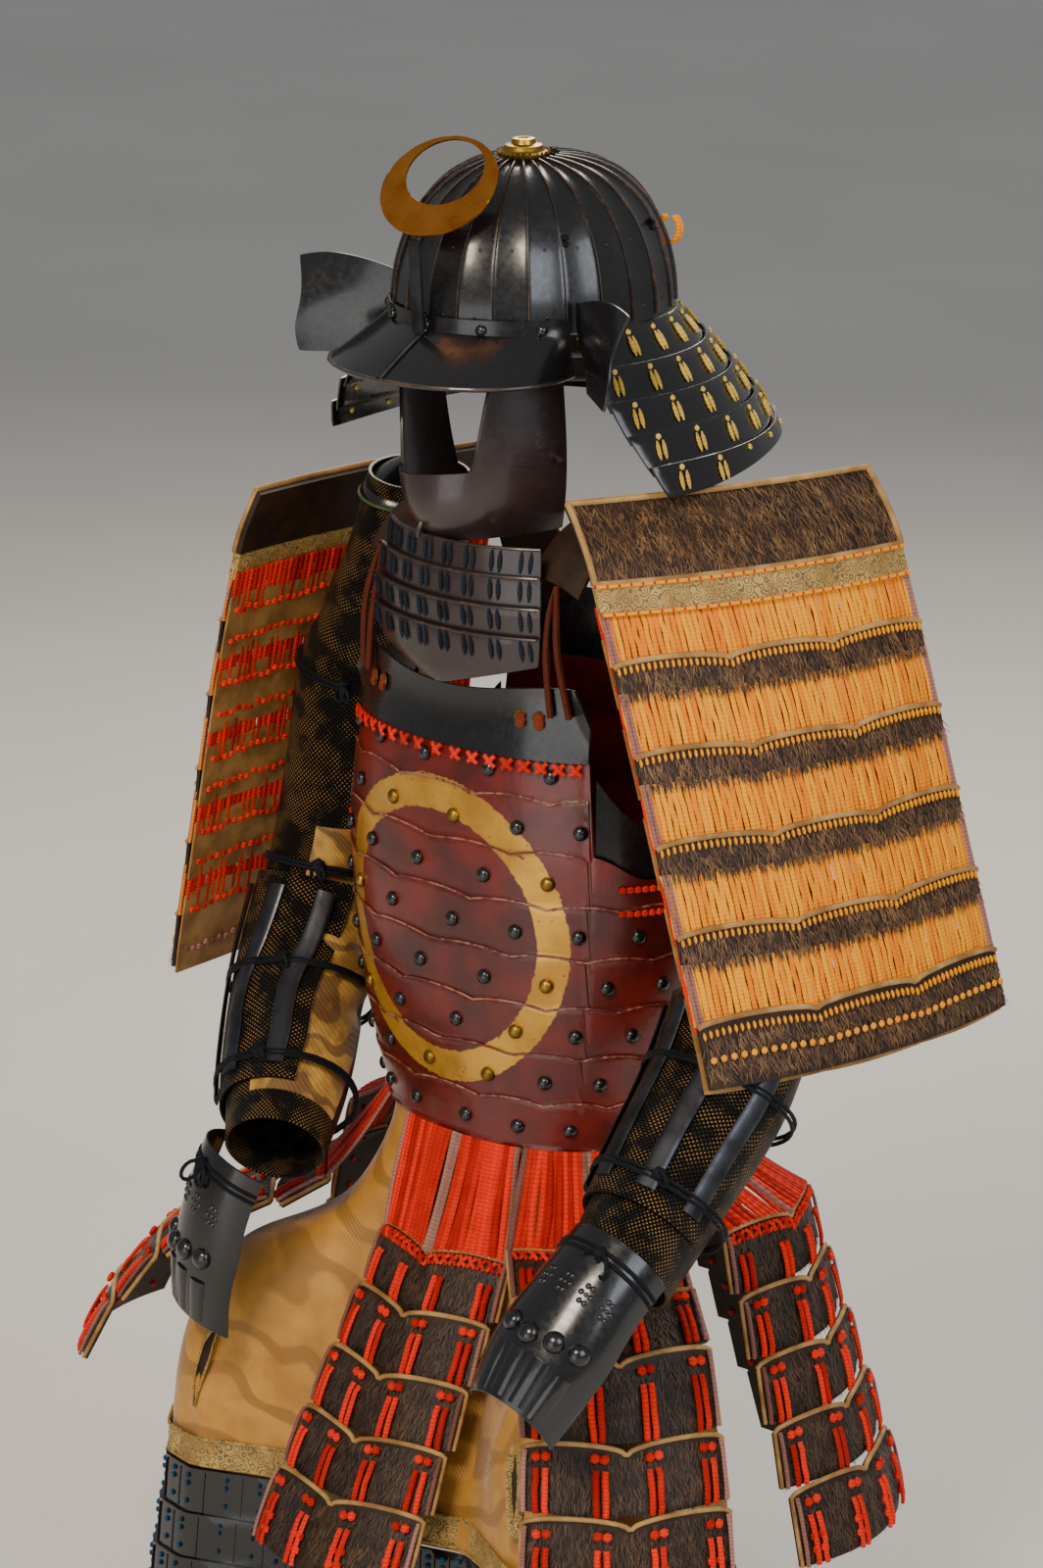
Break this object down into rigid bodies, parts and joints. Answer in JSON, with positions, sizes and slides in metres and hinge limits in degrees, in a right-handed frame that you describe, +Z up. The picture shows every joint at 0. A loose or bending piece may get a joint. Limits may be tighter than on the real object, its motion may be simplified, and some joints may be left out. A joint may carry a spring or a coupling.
{
  "type": "samurai armour",
  "caption": "Seated suit of laced samurai armour: ribbed helmet, face mask, plated cuirass, fur-edged shoulder guards, sleeves, hand guards and skirt panels.",
  "frame": {"origin": "between the shoulder straps, where the wearer's or the stand's shoulders carry the weight", "axes": "+Z up, the front faces -Y, +X towards the wearer's left"},
  "size_m": [0.7294, 0.5591, 1.2857],
  "materials": {
    "black_lacquer": "black lacquer on iron and rawhide",
    "russet_lacquer": "russet lacquer with worn edges",
    "brown_lacquer": "brown-black lacquer",
    "gilt": "gilt copper",
    "copper": "gilt copper sheet",
    "fur": "short brown fur on hide",
    "leather": "stencilled tan leather",
    "orange_lace": "close orange silk lacing over fur-edged lames",
    "brocade": "gold brocade, quilted and lined",
    "mail": "blackened iron mail and splints",
    "cord": "braided red-brown silk cord"
  },
  "bodies": {
    "root": {"face_mask": "black_lacquer", "helmet_bowl": "black_lacquer", "crown_fitting": "gilt", "visor": "black_lacquer", "neck_lame_1": "black_lacquer", "neck_lame_2": "black_lacquer", "neck_lame_3": "black_lacquer", "neck_lame_4": "black_lacquer", "neck_lame_5": "black_lacquer", "turned_wing_left": "black_lacquer", "turned_wing_right": "black_lacquer", "crest": "copper", "crest_prong": "black_lacquer", "front_upper_plates": "russet_lacquer", "front_plates": "russet_lacquer", "back_upper_plates": "russet_lacquer", "back_plates": "russet_lacquer", "chest_board": "black_lacquer", "back_board": "black_lacquer", "underarm_board_left": "black_lacquer", "underarm_board_right": "black_lacquer", "shoulder_strap_left": "black_lacquer", "shoulder_strap_right": "black_lacquer", "chest_tie_left": "cord", "chest_tie_right": "cord", "throat_lame_1": "brown_lacquer", "throat_lame_2": "brown_lacquer", "throat_lame_3": "brown_lacquer", "throat_lame_4": "brown_lacquer", "guard_crown_left": "fur", "guard_band_left": "leather", "guard_lame_left_1": "orange_lace", "guard_lame_left_2": "orange_lace", "guard_lame_left_3": "orange_lace", "guard_lame_left_4": "orange_lace", "guard_lame_left_5": "orange_lace", "guard_crown_right": "fur", "guard_band_right": "leather", "guard_lame_right_1": "orange_lace", "guard_lame_right_2": "orange_lace", "guard_lame_right_3": "orange_lace", "guard_lame_right_4": "orange_lace", "guard_lame_right_5": "orange_lace", "sleeve_left": "brocade", "forearm_splints_left": "mail", "sleeve_right": "brocade", "forearm_splints_right": "mail", "hand_guard_left": "black_lacquer", "hand_guard_right": "black_lacquer", "tasset_front": "fur", "tasset_front_left": "fur", "tasset_side_left": "fur", "tasset_back_left": "fur", "tasset_back_right": "fur", "tasset_side_right": "fur", "tasset_front_right": "fur", "thigh_cloth_left": "brocade", "thigh_lames_left": "black_lacquer", "thigh_cloth_right": "brocade", "thigh_lames_right": "black_lacquer"}
  },
  "joints": []
}
